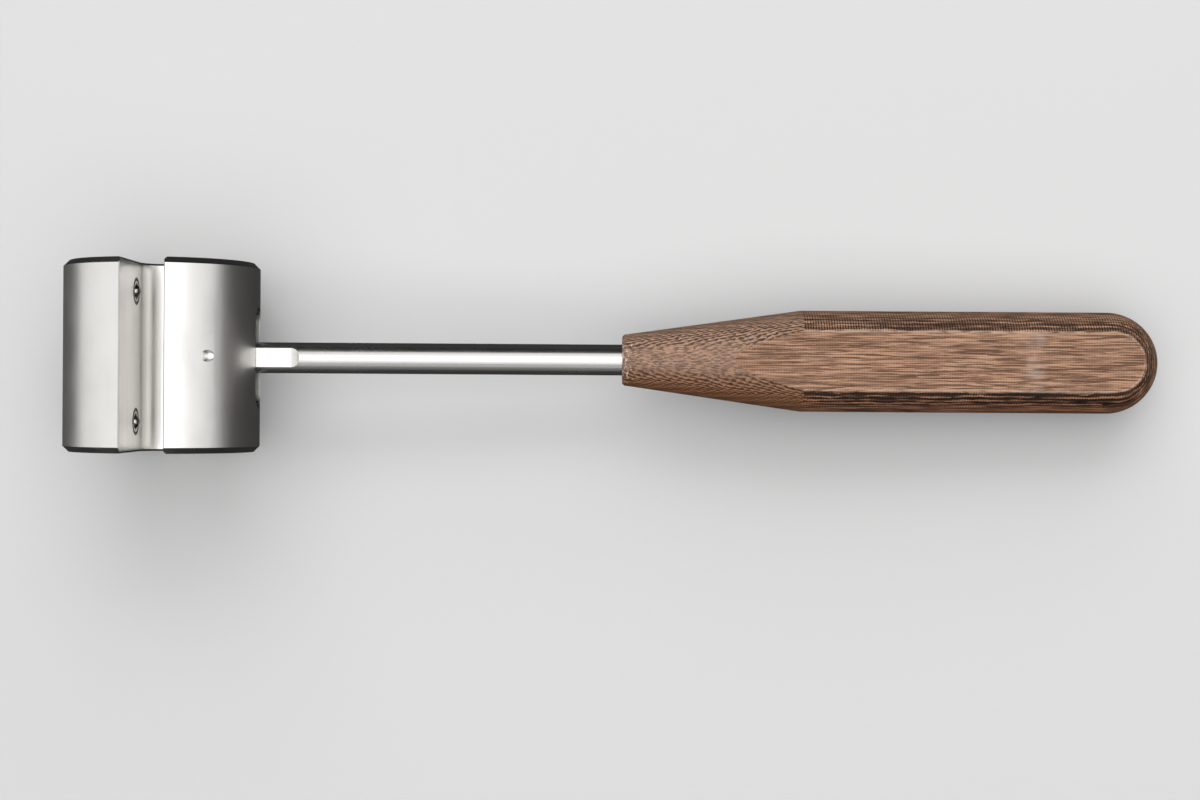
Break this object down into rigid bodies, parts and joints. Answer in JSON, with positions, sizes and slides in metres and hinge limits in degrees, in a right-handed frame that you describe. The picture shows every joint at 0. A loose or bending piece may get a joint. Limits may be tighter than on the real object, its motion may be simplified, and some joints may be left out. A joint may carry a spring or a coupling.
{
  "type": "slotted orthopaedic hammer",
  "caption": "Orthopaedic slotted hammer: round steel head with an open guide rod channel and spring ball detents, on a steel shaft with a turned grip that swings about a pivot pin.",
  "frame": {"origin": "centre of the head, on the axis of the guide rod channel's round bottom", "axes": "+X along the shaft towards the grip, +Y along the head towards its right striking face, +Z out of the channel's mouth"},
  "size_m": [0.2827, 0.049, 0.0493],
  "materials": {
    "head_steel": "satin",
    "shaft_steel": "satin",
    "pin_steel": "satin",
    "plunger_steel": "satin",
    "ball_steel": "polished",
    "spring_steel": "satin",
    "laminated_phenolic": "satin"
  },
  "bodies": {
    "head": {"head_block": "head_steel", "pivot_pin": "pin_steel", "plunger_body_left": "plunger_steel", "plunger_body_right": "plunger_steel", "detent_spring_left": "spring_steel", "detent_spring_right": "spring_steel", "bore_plug_left": "head_steel", "bore_plug_right": "head_steel"},
    "handle": {"shaft": "shaft_steel", "grip": "laminated_phenolic", "grip_pin": "pin_steel"},
    "left_ball": {"detent_ball_left": "ball_steel"},
    "right_ball": {"detent_ball_right": "ball_steel"}
  },
  "joints": [
    {"name": "handle_swing", "type": "hinge", "parent": "head", "child": "handle", "pos_m": [0.0155, 0, 0], "axis": [0, 0, 1], "range_deg": [-35, 35]},
    {"name": "left_ball_travel", "type": "slide", "parent": "head", "child": "left_ball", "axis": [-1, 0, 0], "range_m": [0, 0.0011], "stiffness_N_per_m": 3000, "springref_m": -0.0005, "deforming": ["detent_spring_left"]},
    {"name": "right_ball_travel", "type": "slide", "parent": "head", "child": "right_ball", "axis": [-1, 0, 0], "range_m": [0, 0.0011], "stiffness_N_per_m": 3000, "springref_m": -0.0005, "deforming": ["detent_spring_right"]}
  ]
}
